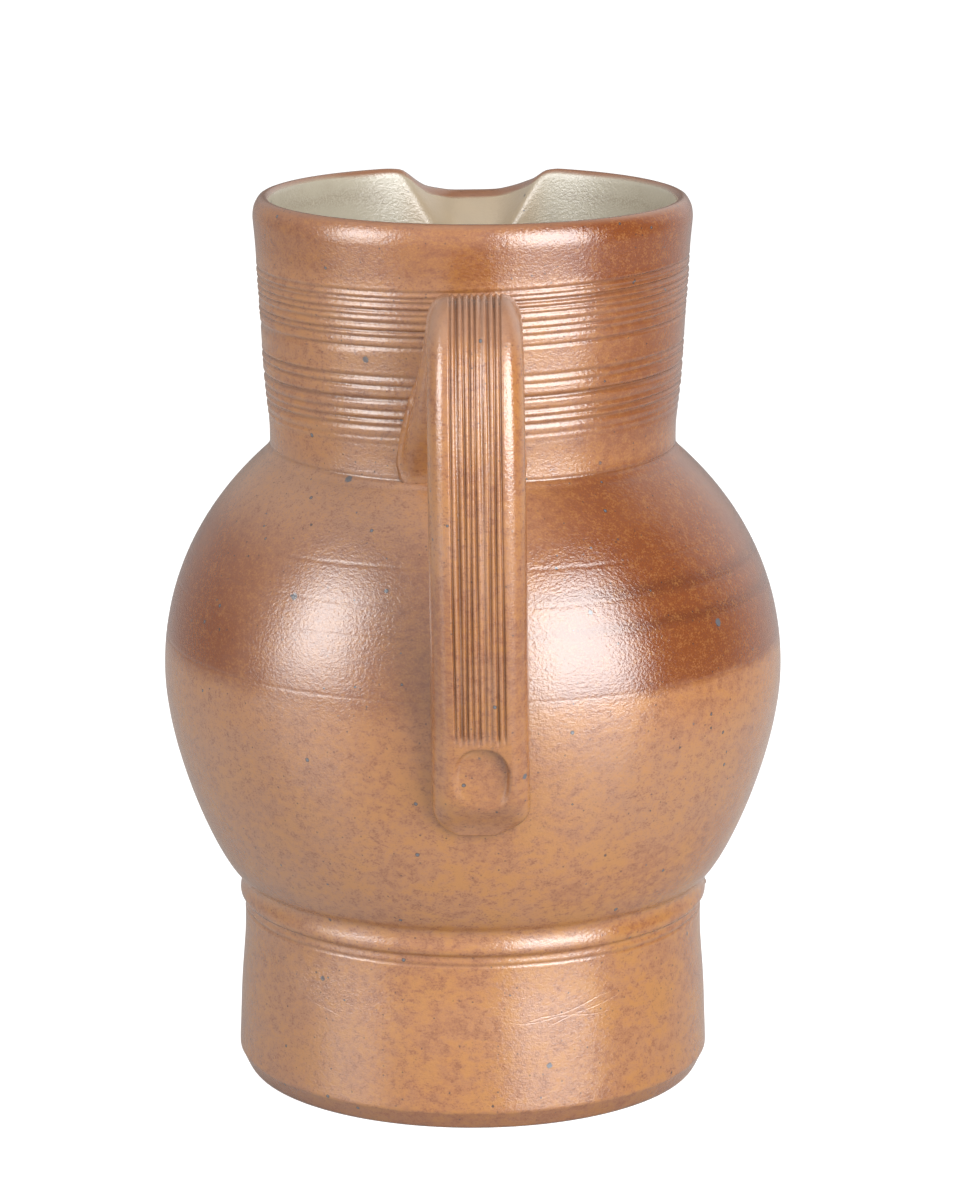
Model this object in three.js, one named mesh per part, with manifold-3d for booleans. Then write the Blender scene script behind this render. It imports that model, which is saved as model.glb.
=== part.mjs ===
// Salt-glazed stoneware pitcher: a thrown body with a pulled spout and a reeded strap handle.
// Body and handle are fired into one piece, so the pitcher is one hollow solid, open at the mouth.
// Millimetres, +Z up. The origin is on the vessel's axis, in the plane that it stands on.
// The spout points along +Y and the handle along -Y.

import * as THREE from 'three';
import { mergeVertices } from 'three/addons/utils/BufferGeometryUtils.js';
import Module from 'manifold-3d';

const wasm = await Module();
wasm.setup();

// Heights of the thrown body, stacked from the ground up
const footHeight = 43.3;          // ground to the line scribed round the top of the foot
const beadHeight = 9.7;           // scribed line to the crease under the belly
const bellyRise = 54.5;           // that crease to the widest girth
const shoulderRise = 57.8;        // widest girth to the crease under the neck
const neckHeight = 58.7;          // that crease to the lower edge of the lip
const lipHeight = 6.0;            // lip, up to its crest

// Outside radii
const standRadius = 59.1;         // flat underside
const footRadius = 61.7;          // foot just above its bevel
const footTopRadius = 59.9;       // foot just under the scribed line
const beadRadius = 61.1;          // bead over the scribed line
const waistRadius = 61.9;         // where the belly springs from the bead
const bellyRadius = 80.1;
const neckRadius = 52.3;
const neckTopRadius = 55.8;
const lipRadius = 56.1;

// Walls
const footWall = 7.0;
const bellyWall = 6.0;
const neckWall = 5.4;
const lipWall = 4.4;
const floorThickness = 9.0;
const floorRound = 10.0;          // round between floor and wall inside

// Small profiles turned on the wheel
const bevelHeight = 4.0;          // bevel round the underside
const scribeDepth = 0.8;
const scribeWidth = 2.2;
const beadUndercut = 1.4;         // corner under the bead, in from its crest
const beadDish = 0.2;             // slight hollow between the bead's crest and the belly
const combDepth = 0.45;
const combs = [                   // bands of combed lines, measured down from the lip
  { drop: 8.5, height: 15.8, pitch: 1.75 },
  { drop: 29.7, height: 15.1, pitch: 2.5 },
];

// Curves of the belly
const lowerCurve = 20.7;          // reach of the curve below the widest girth
const upperCurve = 36.9;          // and above it
const springLength = 7.4;         // straight spring out of the bead
const springAngle = 40.5;         // its angle above the horizontal, degrees
const creaseEase = 1.8;           // short straight under the neck crease

// Spout, pulled from the wall
const spoutWidth = 39.0;
const spoutPull = 12.0;           // how far its lip stands out past the rim
const spoutDip = 7.9;             // how far its lip lies below the rim
const throatHeight = 31.0;

// Strap handle
const strapWidth = 23.0;
const strapThickness = 10.0;
const strapCorner = 2.6;          // round of the strap's inner corners
const rootWidth = 30.0;
const rootAbove = 11.5;           // root's height over the strap's middle line
const rootBelow = 19.5;           // and under it
const rootFade = 26.0;            // length of strap over which the root thins out
const rootRise = 19.2;            // strap's middle line above the neck crease, at the root
const rootReach = 10.5;           // how far it runs out before it climbs
const archRise = 46.7;            // middle of the arch's top above that crease
const archStand = 28.0;           // the same point's distance out from the neck
const archBack = 18.3;            // round of the arch towards the neck
const archFront = 27.7;           // and away from it
const fallStand = 24.0;           // lower end of that round, out from the widest girth
const fallRise = 32.5;            // and above it
const tailDrop = 24.5;            // tail's tip below the widest girth
const tailThickness = 1.6;
const tailLength = 25.0;          // length of strap over which it thins to that
const tailRound = 9.0;            // length over which the tail's end is rounded
const tailEndWidth = 8.6;
const rootLean = -2.6;            // sideways place of the root
const tailLean = 2.4;             // and of the tail
const reedCount = 9;
const reedPitch = 1.5;
const reedDepth = 0.5;
const reedStart = 8.0;            // bare length of strap before the reeds
const reedRunIn = 16.0;           // length over which they deepen
const reedRunOut = 3.0;           // and over which they end, above the thumb press
const thumbWidth = 15.0;
const thumbHeight = 18.0;
const thumbDepth = 2.6;
const thumbRise = 18.0;           // middle of the thumb press, along the strap from its tip

// Fineness
const bodySides = 48;
const strapStations = 30;
const thumbSides = 16;

const waistZ = footHeight + beadHeight;
const girthZ = waistZ + bellyRise;
const creaseZ = girthZ + shoulderRise;
const lipZ = creaseZ + neckHeight;
const crestZ = lipZ + lipHeight;

const point = (radius, z) => new THREE.Vector2(radius, z);
const mix = (a, b, share) => a + (b - a) * share;
const smooth = (low, high, value) => THREE.MathUtils.smoothstep(value, low, high);

// One side of the belly, from the crease under it to the crease over it.
function bellyOutline(lowEnd, widest, highEnd, steps) {
  const angle = THREE.MathUtils.degToRad(springAngle);
  const spring = point(Math.cos(angle) * springLength, Math.sin(angle) * springLength);
  const low = new THREE.CubicBezierCurve(
    lowEnd, lowEnd.clone().add(spring), point(widest, girthZ - lowerCurve), point(widest, girthZ));
  const underCrease = point(highEnd.x + creaseEase / 3, highEnd.y - creaseEase);
  const high = new THREE.CubicBezierCurve(
    point(widest, girthZ), point(widest, girthZ + upperCurve), underCrease, highEnd);
  return [...low.getPoints(steps), ...high.getPoints(steps).slice(1)];
}

// Zigzag of combed lines over the neck's straight flare, from the crease up to the lip.
function neckOutline() {
  const flareAt = (z) => mix(neckRadius, neckTopRadius, (z - creaseZ) / neckHeight);
  const outline = [];
  for (const comb of [...combs].reverse()) {
    const lines = Math.floor(comb.height / comb.pitch + 1e-6);
    const bottom = lipZ - comb.drop - lines * comb.pitch;
    outline.push(point(flareAt(bottom), bottom));
    for (let line = 0; line < lines; line += 1) {
      const valley = bottom + (line + 0.5) * comb.pitch;
      const ridge = bottom + (line + 1) * comb.pitch;
      outline.push(point(flareAt(valley) - combDepth, valley));
      outline.push(point(flareAt(ridge), ridge));
    }
  }
  return outline;
}

// Round lip, from its lower outer edge over the crest to its inner edge.
function lipOutline() {
  const crestRadius = lipRadius - lipWall * 0.6;
  const outer = new THREE.QuadraticBezierCurve(
    point(lipRadius, lipZ + lipHeight * 0.25), point(lipRadius, crestZ), point(crestRadius, crestZ));
  const inner = new THREE.QuadraticBezierCurve(
    point(crestRadius, crestZ), point(lipRadius - lipWall, crestZ), point(lipRadius - lipWall, lipZ));
  return [point(neckTopRadius, lipZ), ...outer.getPoints(3), ...inner.getPoints(2).slice(1)];
}

// Outer wall, from the edge of the underside up the foot, bead, belly and neck and over the lip.
function outerOutline() {
  return [
    point(standRadius, 0),
    point(footRadius, bevelHeight),
    point(mix(footRadius, footTopRadius, 0.4), footHeight * 0.55),
    point(footTopRadius, footHeight - scribeWidth / 2),
    point(footTopRadius - scribeDepth, footHeight),
    point(footTopRadius, footHeight + scribeWidth / 2),
    point(beadRadius - beadUndercut, footHeight + scribeWidth),
    point(beadRadius - beadDish, footHeight + beadHeight * 0.45),
    point(beadRadius, footHeight + beadHeight * 0.7),
    point(beadRadius - beadDish, footHeight + beadHeight * 0.88),
    ...bellyOutline(point(waistRadius, waistZ), bellyRadius, point(neckRadius, creaseZ), 6),
    ...neckOutline(),
    ...lipOutline(),
  ];
}

// Inner wall, from under the lip down to the floor's edge.
function innerOutline() {
  const neckInner = point(neckRadius - neckWall, creaseZ - neckWall / 2);
  const waistInner = point(waistRadius - footWall, waistZ + bellyWall / 2);
  const belly = bellyOutline(waistInner, bellyRadius - bellyWall, neckInner, 4).reverse();
  const footInner = footTopRadius - footWall;
  const floorEdge = new THREE.EllipseCurve(
    footInner - floorRound, floorThickness + floorRound, floorRound, floorRound, 0, -Math.PI / 2, true);
  return [
    point(mix(neckRadius, neckTopRadius, 0.5) - neckWall, mix(creaseZ, lipZ, 0.5)),
    ...belly,
    ...floorEdge.getPoints(3),
  ];
}

// Closed solid of revolution about Z from a profile that starts and ends on the axis.
function turned(outline) {
  const last = outline.at(-1).y;
  const profile = [point(0, outline[0].y), ...outline, point(0, last)];
  return new THREE.LatheGeometry(profile, bodySides).rotateX(Math.PI / 2);
}

// Moves every vertex of a geometry by a function of its place.
function reshape(geometry, move) {
  const place = geometry.getAttribute('position');
  const vertex = new THREE.Vector3();
  for (let index = 0; index < place.count; index += 1) {
    move(vertex.fromBufferAttribute(place, index));
    place.setXYZ(index, vertex.x, vertex.y, vertex.z);
  }
  return geometry;
}

// A solid for joining and cutting: vertices merged and slivers of no area dropped.
function toSolid(geometry) {
  geometry.deleteAttribute('normal');
  geometry.deleteAttribute('uv');
  const merged = mergeVertices(geometry, 1e-3);
  const corners = merged.getIndex().array;
  const kept = [];
  for (let start = 0; start < corners.length; start += 3) {
    const [a, b, c] = corners.slice(start, start + 3);
    if (a !== b && b !== c && c !== a) kept.push(a, b, c);
  }
  return new wasm.Manifold(new wasm.Mesh({
    numProp: 3,
    vertProperties: Float32Array.from(merged.getAttribute('position').array),
    triVerts: Uint32Array.from(kept),
  }));
}

// The spout is the wall itself, pulled out and down between two shoulders.
function pullSpout(vertex) {
  const rise = THREE.MathUtils.clamp((vertex.z - crestZ + throatHeight) / throatHeight, 0, 1);
  const across = Math.min(Math.abs(vertex.x) / (spoutWidth / 2), 1);
  if (vertex.y < 0) return;
  const share = (1 - across ** 3) * rise ** 2;
  vertex.y += spoutPull * share;
  vertex.z -= spoutDip * share;
}

// Radius of an outline where it crosses a height.
function radiusAt(outline, z) {
  const next = outline.findIndex((p, index) => index > 0 && p.y >= z && outline[index - 1].y < z);
  const [low, high] = [outline[next - 1], outline[next]];
  return mix(low.x, high.x, (z - low.y) / (high.y - low.y));
}

// Middle line of the strap in the side view: out of the neck, over the arch and down to the belly.
// Its points are (distance from the axis, height).
function strapLine(outline) {
  const tailZ = girthZ - tailDrop;
  const root = point(neckRadius - neckWall / 2, creaseZ + rootRise);
  const arch = point(neckRadius + archStand, creaseZ + archRise);
  const tail = point(radiusAt(outline, tailZ), tailZ);
  const line = new THREE.CurvePath();
  line.add(new THREE.CubicBezierCurve(
    root, point(root.x + rootReach, root.y), point(arch.x - archBack, arch.y), arch));
  line.add(new THREE.CubicBezierCurve(
    arch, point(arch.x + archFront, arch.y), point(bellyRadius + fallStand, girthZ + fallRise), tail));
  return line;
}

// Outline of the strap's section as [across, out]: over the reeded face and back round under it.
function strapSection({ halfWidth, above, below, depth, corner }) {
  const reedSpan = reedCount * reedPitch * Math.min(1, halfWidth / (strapWidth / 2));
  const reeds = [];
  for (let step = 0; step <= reedCount * 2; step += 1) {
    const valley = step % 2 === 1;
    reeds.push([(step / (reedCount * 2) - 0.5) * reedSpan, above - (valley ? depth : 0)]);
  }
  const flank = new THREE.EllipseCurve(
    reedSpan / 2, corner - below, halfWidth - reedSpan / 2, above + below - corner, Math.PI / 2, 0, true);
  const under = new THREE.EllipseCurve(
    halfWidth - corner, corner - below, corner, corner, 0, -Math.PI / 2, true);
  const right = [...flank.getPoints(4).slice(1), ...under.getPoints(2).slice(1)].map((p) => [p.x, p.y]);
  const left = right.map(([across, out]) => [-across, out]).reverse();
  return [...reeds, ...right, [0, -below], ...left];
}

// What the strap measures at a distance from its root, on a line of a given length.
function strapAt(distance, length) {
  const toTip = length - distance;
  const rooted = Math.max(0, 1 - distance / rootFade) ** 2;
  const thinned = 1 - smooth(0, tailLength, toTip);
  const nearTip = Math.max(0, 1 - toTip / tailRound);
  const rounded = Math.sqrt(1 - nearTip ** 2 * (1 - (tailEndWidth / strapWidth) ** 2));
  const reedEnd = thumbRise + thumbHeight / 2;
  const reedIn = smooth(reedStart, reedStart + reedRunIn, distance);
  const reedOut = smooth(reedEnd, reedEnd + reedRunOut, toTip);
  const leanIn = smooth(0, rootFade * 1.5, distance);
  const below = mix(strapThickness / 2, rootBelow, rooted);
  return {
    halfWidth: mix(strapWidth, rootWidth, rooted) / 2 * rounded,
    above: mix(mix(strapThickness / 2, tailThickness, thinned), rootAbove, rooted),
    below,
    depth: reedDepth * reedIn * reedOut,
    corner: mix(strapCorner, below * 0.6, rooted),
    lean: mix(rootLean, tailLean * (distance / length), leanIn),
  };
}

// The handle: a capped tube whose rings are laid along the strap's line. A ring stands upright at
// the neck and square to the line further on.
function strapGeometry(line) {
  const length = line.getLength();
  const rings = Array.from({ length: strapStations + 1 }, (_, step) => {
    const even = step / strapStations;
    const share = mix(even, (1 - Math.cos(Math.PI * even)) / 2, 0.6);
    const heading = line.getTangentAt(share);
    const upright = 1 - smooth(0, rootFade, share * length);
    const outward = point(-heading.y, heading.x).lerp(point(0, 1), upright).normalize();
    const size = strapAt(share * length, length);
    return { middle: line.getPointAt(share), outward, lean: size.lean, section: strapSection(size) };
  });
  const corners = rings[0].section.length;
  const tube = new THREE.CylinderGeometry(1, 1, 1, corners, strapStations);
  return reshape(tube, (vertex) => {
    const ring = rings[Math.round((vertex.y + 0.5) * strapStations)];
    const turn = (Math.atan2(-vertex.x, vertex.z) / (2 * Math.PI) + 1) % 1;
    const capMiddle = Math.hypot(vertex.x, vertex.z) < 0.5;
    const corner = ring.section[Math.round(turn * corners) % corners];
    const [across, out] = capMiddle ? [0, 0] : corner;
    const reach = ring.middle.x + ring.outward.x * out;
    vertex.set(ring.lean + across, -reach, ring.middle.y + ring.outward.y * out);
  });
}

// Hollow that a thumb pressed into the strap's tail.
function thumbGeometry(line) {
  const length = line.getLength();
  const share = 1 - thumbRise / length;
  const middle = line.getPointAt(share);
  const heading = line.getTangentAt(share);
  const size = strapAt(share * length, length);
  const depthRadius = thumbDepth * 2;
  const stand = size.above - thumbDepth + depthRadius;
  return new THREE.SphereGeometry(1, thumbSides, thumbSides / 2)
    .scale(thumbWidth / 2, depthRadius, thumbHeight / 2)
    .rotateX(Math.atan2(heading.x, heading.y) + Math.PI)
    .translate(size.lean, -(middle.x - heading.y * stand), middle.y + heading.x * stand);
}

// The handle is luted on: it ends inside the wall, and nothing of it shows within the vessel.
function pitcherGeometry() {
  const outer = outerOutline();
  const body = toSolid(reshape(turned([...outer, ...innerOutline()]), pullSpout));
  const core = toSolid(turned(outer.map((p) => point(p.x - neckWall / 2, p.y))));
  const line = strapLine(outer);
  const thumb = toSolid(thumbGeometry(line));
  const handle = toSolid(strapGeometry(line)).subtract(core).subtract(thumb);
  const mesh = body.add(handle).getMesh();
  const geometry = new THREE.BufferGeometry();
  geometry.setAttribute('position', new THREE.BufferAttribute(mesh.vertProperties, 3));
  geometry.setIndex(new THREE.BufferAttribute(mesh.triVerts, 1));
  geometry.computeVertexNormals();
  return geometry;
}

const glaze = new THREE.MeshStandardMaterial({ color: 0xb4784f, roughness: 0.32, metalness: 0 });
const pitcher = new THREE.Mesh(pitcherGeometry(), glaze);
pitcher.name = 'pitcher';

const object = new THREE.Group();
object.add(pitcher);

export default object;
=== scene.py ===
import math

import bpy
import numpy as np
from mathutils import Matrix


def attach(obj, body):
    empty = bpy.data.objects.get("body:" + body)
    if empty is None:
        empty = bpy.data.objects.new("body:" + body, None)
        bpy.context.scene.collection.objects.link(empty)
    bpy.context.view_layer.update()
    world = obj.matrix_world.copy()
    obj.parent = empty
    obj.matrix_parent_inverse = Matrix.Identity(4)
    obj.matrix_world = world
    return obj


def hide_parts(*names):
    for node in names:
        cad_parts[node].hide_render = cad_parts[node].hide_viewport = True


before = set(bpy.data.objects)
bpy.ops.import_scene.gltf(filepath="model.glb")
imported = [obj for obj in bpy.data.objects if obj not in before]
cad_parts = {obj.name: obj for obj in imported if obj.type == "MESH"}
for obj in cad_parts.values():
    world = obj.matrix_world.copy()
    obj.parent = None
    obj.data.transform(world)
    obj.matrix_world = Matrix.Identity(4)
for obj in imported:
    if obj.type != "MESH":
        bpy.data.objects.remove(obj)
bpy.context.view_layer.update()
metre = 0.001  # one millimetre in metres


# Rises from 0 at low to 1 at high: three times the share's square less twice its cube.
def smoothStep(low, high, value):
    share = np.clip((np.asarray(value, float) - low) / (high - low), 0.0, 1.0)
    return share * share * (3.0 - 2.0 * share)


# From low to high by a share.
def mix(low, high, share):
    return low + (high - low) * share


# Cubic Bezier: four points weighted by the powers of the share and of what is left of it.
def bezier(start, pull, push, end, count=400):
    share = np.linspace(0.0, 1.0, count)[:, None]
    left = 1.0 - share
    start, pull, push, end = (np.array(p, float) for p in (start, pull, push, end))
    return left**3 * start + 3 * left**2 * share * pull + 3 * left * share**2 * push + share**3 * end


# Smooth curve through points: between two of them a cubic whose slopes are those of the chord
# from the point before to the point after.
def curveThrough(points, count=40):
    points = np.array(points, float)
    before = np.vstack([points[:1], points[:-1]])
    after = np.vstack([points[1:], points[-1:]])
    slope = (after - before) / 2.0
    share = np.linspace(0.0, 1.0, count, endpoint=False)[None, :, None]
    a, b = points[:-1, None, :], points[1:, None, :]
    slopeA, slopeB = slope[:-1, None, :], slope[1:, None, :]
    curve = (
        (2 * share**3 - 3 * share**2 + 1) * a
        + (share**3 - 2 * share**2 + share) * slopeA
        + (3 * share**2 - 2 * share**3) * b
        + (share**3 - share**2) * slopeB
    )
    return np.vstack([curve.reshape(-1, 2), points[-1:]])


# Distance from a path's start to each of its points: the sum of the steps between them.
def lengthAlong(path):
    steps = np.hypot(*np.diff(path, axis=0).T)
    return np.concatenate([[0.0], np.cumsum(steps)])


# Places along a path whose spacing follows a wanted step: equal shares of the sum of
# length over step.
def spacedPlaces(length, step):
    weight = np.diff(length) * 2.0 / (step[1:] + step[:-1])
    total = np.concatenate([[0.0], np.cumsum(weight)])
    return np.interp(np.linspace(0.0, total[-1], int(math.ceil(total[-1])) + 1), total, length)


# Waves of a few whole turns with fixed phases: an uneven hand that joins up round the vessel.
def unevenRound(turn, seed, strength):
    phases = np.random.default_rng(seed).uniform(0.0, 2.0 * np.pi, 5)
    waves = [np.sin((k + 1) * turn + phases[k]) / (k + 1.3) for k in range(5)]
    return strength * sum(waves)


# A smooth piece from vertices in millimetres; each attribute holds one value per vertex.
def makeMesh(name, vertices, faces, attributes):
    mesh = bpy.data.meshes.new(name)
    mesh.from_pydata(vertices.reshape(-1, 3) * metre, [], faces)
    mesh.polygons.foreach_set("use_smooth", np.ones(len(mesh.polygons), bool))
    for title, values in attributes.items():
        layer = mesh.attributes.new(title, "FLOAT", "POINT")
        layer.data.foreach_set("value", np.ascontiguousarray(values, np.float32).ravel())
    mesh.update()
    mesh.validate()
    piece = bpy.data.objects.new(name, mesh)
    bpy.context.scene.collection.objects.link(piece)
    return piece


# Quads of a grid of rows by columns whose last column joins the first, and a fan over each end.
def closedGridFaces(rows, columns, firstPole, lastPole):
    row = np.arange(rows - 1)[:, None] * columns
    column = np.arange(columns)
    following = (column + 1) % columns
    quads = np.stack(
        [row + column, row + following, row + columns + following, row + columns + column], axis=-1)
    top = (rows - 1) * columns
    firstFan = np.stack([following, column, np.full(columns, firstPole)], axis=-1)
    lastFan = np.stack([top + column, top + following, np.full(columns, lastPole)], axis=-1)
    return quads.reshape(-1, 4).tolist() + firstFan.tolist() + lastFan.tolist()


thrownBody = {
    "columns": 150,  # plain columns round the body, before the finer ones at the spout
    "spoutColumns": 1.6,  # how many more there are at the spout, as a share
    "spoutReach": (0.55, 0.3),  # turn from the spout where they begin and where they are full
    "outerRow": 1.55,  # spacing of the rows up the plain wall
    "outerBands": [  # from and to in height, and the closer spacing where there is fine relief
        (-1.0, 6.0, 0.5), (41.0, 54.5, 0.4), (163.0, 168.5, 0.35), (173.5, 195.0, 0.4),
        (198.0, 217.0, 0.36), (222.0, 231.0, 0.6)],
    "scribedBand": (2.0, 0.35),  # the same on both sides of a scribed line
    "undersideRow": 6.0,
    "innerRow": 4.2,
    "innerBands": [(170.0, 231.0, 2.2), (222.0, 231.0, 0.7)],
    "crestZ": 230.0,
    "girthZ": 107.5,
    "girthRadius": 80.1,
    "girthBelow": 20.7,  # how strongly the belly stays upright below its girth and above it
    "girthAbove": 36.9,
    "footRadius": 58.6,
    "wall": 6.0,
    "wobble": 0.05,
    "scribedLines": [146.7, 138.7, 130.7, 116.5],
    "scribedWidth": 0.34,
    "scribedDepth": 0.055,
    "creases": [  # height, width, depth, and the seed and strength of the waver
        (43.1, 0.34, 0.32, 11, 0.1), (163.4, 0.4, 0.08, 12, 0.15), (165.7, 0.45, 0.32, 13, 0.1)],
    "combUpper": [214.7, 213.1, 211.9, 210.1, 208.5, 206.7, 204.8, 203.2, 200.5],
    "combLower": [193.0, 191.0, 187.5, 184.5, 182.5, 180.5, 178.1, 176.2],
    "combDepth": 0.5,
    "combDepths": [  # shares of that depth, line by line
        1.0, 0.8, 1.1, 0.9, 1.05, 0.7, 1.15, 0.85, 0.75,
        1.0, 0.8, 1.1, 0.9, 1.05, 0.7, 0.4, 0.25],
    "combWidths": [0.38, 0.3, 0.5, 0.36, 0.32, 0.44, 0.34, 0.4, 0.36],
    "lowerWidth": 1.2,  # the lower band's lines are wider by this
    "combTilt": 1.5,  # the comb ran higher on the right than on the left
    "combLevel": 0.75,  # share of the radius, on the right, where a line has its stated height
    "spoutPull": 12.0,
    "spoutDip": 7.9,
    "pullAcross": [  # place across the spout and the share of the pull there
        (-23.0, 0.0), (-19.0, 0.02), (-16.0, 0.2), (-13.0, 0.52), (-10.0, 0.8), (-6.0, 0.97), (0.0, 1.0),
        (7.0, 0.97), (11.0, 0.82), (14.0, 0.52), (16.2, 0.14), (17.4, 0.04), (20.0, 0.0)],
    "dipAcross": [
        (-23.0, 0.0), (-19.4, 0.05), (-17.5, 0.2), (-14.6, 0.55), (-12.5, 0.75), (-9.6, 0.89), (-5.9, 0.99),
        (0.0, 1.0), (5.9, 0.97), (9.3, 0.87), (12.5, 0.7), (15.6, 0.45), (17.0, 0.3), (19.4, 0.08),
        (22.6, 0.0)],
    "throat": 31.0,
    "channelFoot": 0.15,  # the channel's width at the throat, as a share of that at the crest
    "rimBand": 0.9,  # how far the brown of the rim runs down inside, and how much more at the spout
    "rimBandSpout": 2.6,
    "lipFade": (228.6, 229.8),  # heights between which the outer glaze turns to the lip's
    "crumbReach": 60.0,
    "crumbs": [  # turn from the handle in degrees, height, radius and how far it stands out
        (93.0, 46.6, 1.3, 1.1), (-91.0, 51.0, 1.2, 0.5), (88.0, 164.6, 1.1, 0.7),
        (-52.0, 164.2, 1.0, 0.35)],
}


# Radius and height of the outer wall, from the middle of the underside to the lip's crest.
def outerPath(size):
    girth = (size["girthRadius"], size["girthZ"])
    underside = np.array([[0.0, 0.0], [size["footRadius"], 0.0]])
    foot = curveThrough([
        (58.7, 0.0), (59.1, 0.15), (59.7, 1.0), (60.5, 2.6), (61.3, 4.3), (61.6, 4.8), (61.67, 5.5),
        (61.62, 7.0), (61.5, 10.0), (61.3, 15.0), (61.1, 20.0), (60.8, 25.0), (60.4, 30.0),
        (60.02, 35.0), (59.9, 39.0), (59.88, 42.0), (59.9, 44.2), (59.78, 44.9), (59.85, 45.4),
        (60.3, 45.85), (60.85, 46.4), (61.1, 47.1), (61.1, 47.8), (60.95, 48.6), (60.72, 49.5),
        (60.6, 50.4), (60.62, 51.2), (60.85, 52.0), (61.3, 52.7), (61.98, 53.4),
    ])
    low = bezier((61.98, 53.4), (67.3, 57.9), (girth[0], girth[1] - size["girthBelow"]), girth)
    high = bezier(girth, (girth[0], girth[1] + size["girthAbove"]), (53.6, 163.1), (53.0, 164.7))
    neck = curveThrough([
        (53.0, 164.7), (52.5, 165.3), (52.25, 166.2), (52.25, 168.0), (52.35, 172.0), (53.0, 178.0),
        (53.7, 186.0), (54.15, 194.0), (54.6, 202.0), (55.1, 210.0), (55.4, 216.0), (55.7, 220.0),
        (55.98, 223.0), (56.1, 225.0), (55.85, 227.0), (55.2, 228.5), (54.4, 229.6), (53.4, 230.0),
    ])
    return np.vstack([underside, foot[1:], low[1:], high[1:], neck[1:]])


# Radius and height of the inner wall, from the lip's crest to the middle of the floor.
def innerPath(size):
    girth = (size["girthRadius"] - size["wall"], size["girthZ"])
    lip = curveThrough([
        (53.4, 230.0), (52.5, 229.6), (51.9, 228.4), (51.65, 226.5), (51.2, 222.0), (50.5, 214.0),
        (49.6, 204.0), (48.65, 194.0), (47.7, 180.0), (47.0, 168.0), (46.95, 162.6),
    ])
    high = bezier((46.95, 162.6), (47.6, 160.8), (girth[0], girth[1] + size["girthAbove"]), girth)
    low = bezier(girth, (girth[0], girth[1] - size["girthBelow"]), (60.5, 60.8), (54.9, 56.0))
    floor = curveThrough([
        (54.9, 56.0), (53.2, 52.0), (52.95, 46.0), (52.9, 30.0), (52.9, 19.0), (51.9, 14.5),
        (49.2, 10.8), (45.0, 9.2), (40.0, 9.0), (20.0, 9.0), (0.0, 9.0),
    ])
    return np.vstack([lip, high[1:], low[1:], floor[1:]])


# Wanted spacing of the rows at each height: the plain one, or that of the last band it lies in.
def rowSteps(plain, bands, z):
    step = np.full(len(z), plain)
    for low, high, fine in bands:
        step = np.where((z > low) & (z < high), fine, step)
    return step


# The same on the outer wall, where the rows are wide apart under the foot.
def outerSteps(size, radius, z):
    reach, fine = size["scribedBand"]
    scribed = [(line - reach, line + reach, fine) for line in size["scribedLines"]]
    step = rowSteps(size["outerRow"], size["outerBands"] + scribed, z)
    return np.where((z < 0.01) & (radius < size["footRadius"]), size["undersideRow"], step)


# A groove is a bell-shaped hollow; the clay it pushed up stands as a low ridge at its sides.
def groove(distance, width, depth):
    bell = np.exp(-((distance / width) ** 2))
    ridge = np.exp(-(((np.abs(distance) - 1.9 * width) / width) ** 2))
    return -depth * bell + 0.16 * depth * ridge


# Relief of the outer wall: a groove for each line of the comb, each scribed line and each
# crease, all with a waver round the vessel, and a small bell for each crumb of clay.
def bodyRelief(size, turn, z):
    relief = np.zeros(np.broadcast(turn, z).shape)
    right = np.sin(turn)  # +1 on the right of the handle, -1 on its left
    for index, line in enumerate(size["combUpper"] + size["combLower"]):
        waver = unevenRound(turn, 40 + index, 0.12)
        height = line + size["combTilt"] * (right - size["combLevel"]) + waver
        width = size["combWidths"][index % len(size["combWidths"])]
        if index >= len(size["combUpper"]):
            width *= size["lowerWidth"]
        strength = np.clip(1.0 + unevenRound(turn, 80 + index, 0.35), 0.35, 1.6)
        depth = size["combDepth"] * size["combDepths"][index]
        relief += groove(z - height, width, depth * strength)
    for index, line in enumerate(size["scribedLines"]):
        height = line + unevenRound(turn, 20 + index, 0.25)
        depth = size["scribedDepth"] * (1.0 + unevenRound(turn, 30 + index, 0.3))
        relief += groove(z - height, size["scribedWidth"], depth)
    for height, width, depth, seed, waver in size["creases"]:
        relief += groove(z - height - unevenRound(turn, seed, waver), width, depth)
    for degrees, height, radius, stand in size["crumbs"]:
        aside = (turn - math.radians(degrees)) * size["crumbReach"]
        relief += stand * np.exp(-((aside / radius) ** 2) - ((z - height) / radius) ** 2)
    return relief


# The spout is the wall drawn out and down between two shoulders: by shares that are full in the
# middle and fall off across. Outwards they grow with the rise over the throat to the power 1.5,
# and downwards with its square. Further down the channel is narrower.
def pullSpout(size, x, y, z):
    rise = np.clip((z - size["crestZ"] + size["throat"]) / size["throat"], 0.0, 1.0) * (y > 0.0)
    narrow = x / mix(size["channelFoot"], 1.0, rise)
    shares = []
    for points in (size["pullAcross"], size["dipAcross"]):
        curve = curveThrough(points)
        shares.append(np.interp(narrow, curve[:, 0], curve[:, 1]))
    pull, dip = shares[0] * rise**1.5, shares[1] * rise**2
    return y + size["spoutPull"] * pull, z - size["spoutDip"] * dip, dip


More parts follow.
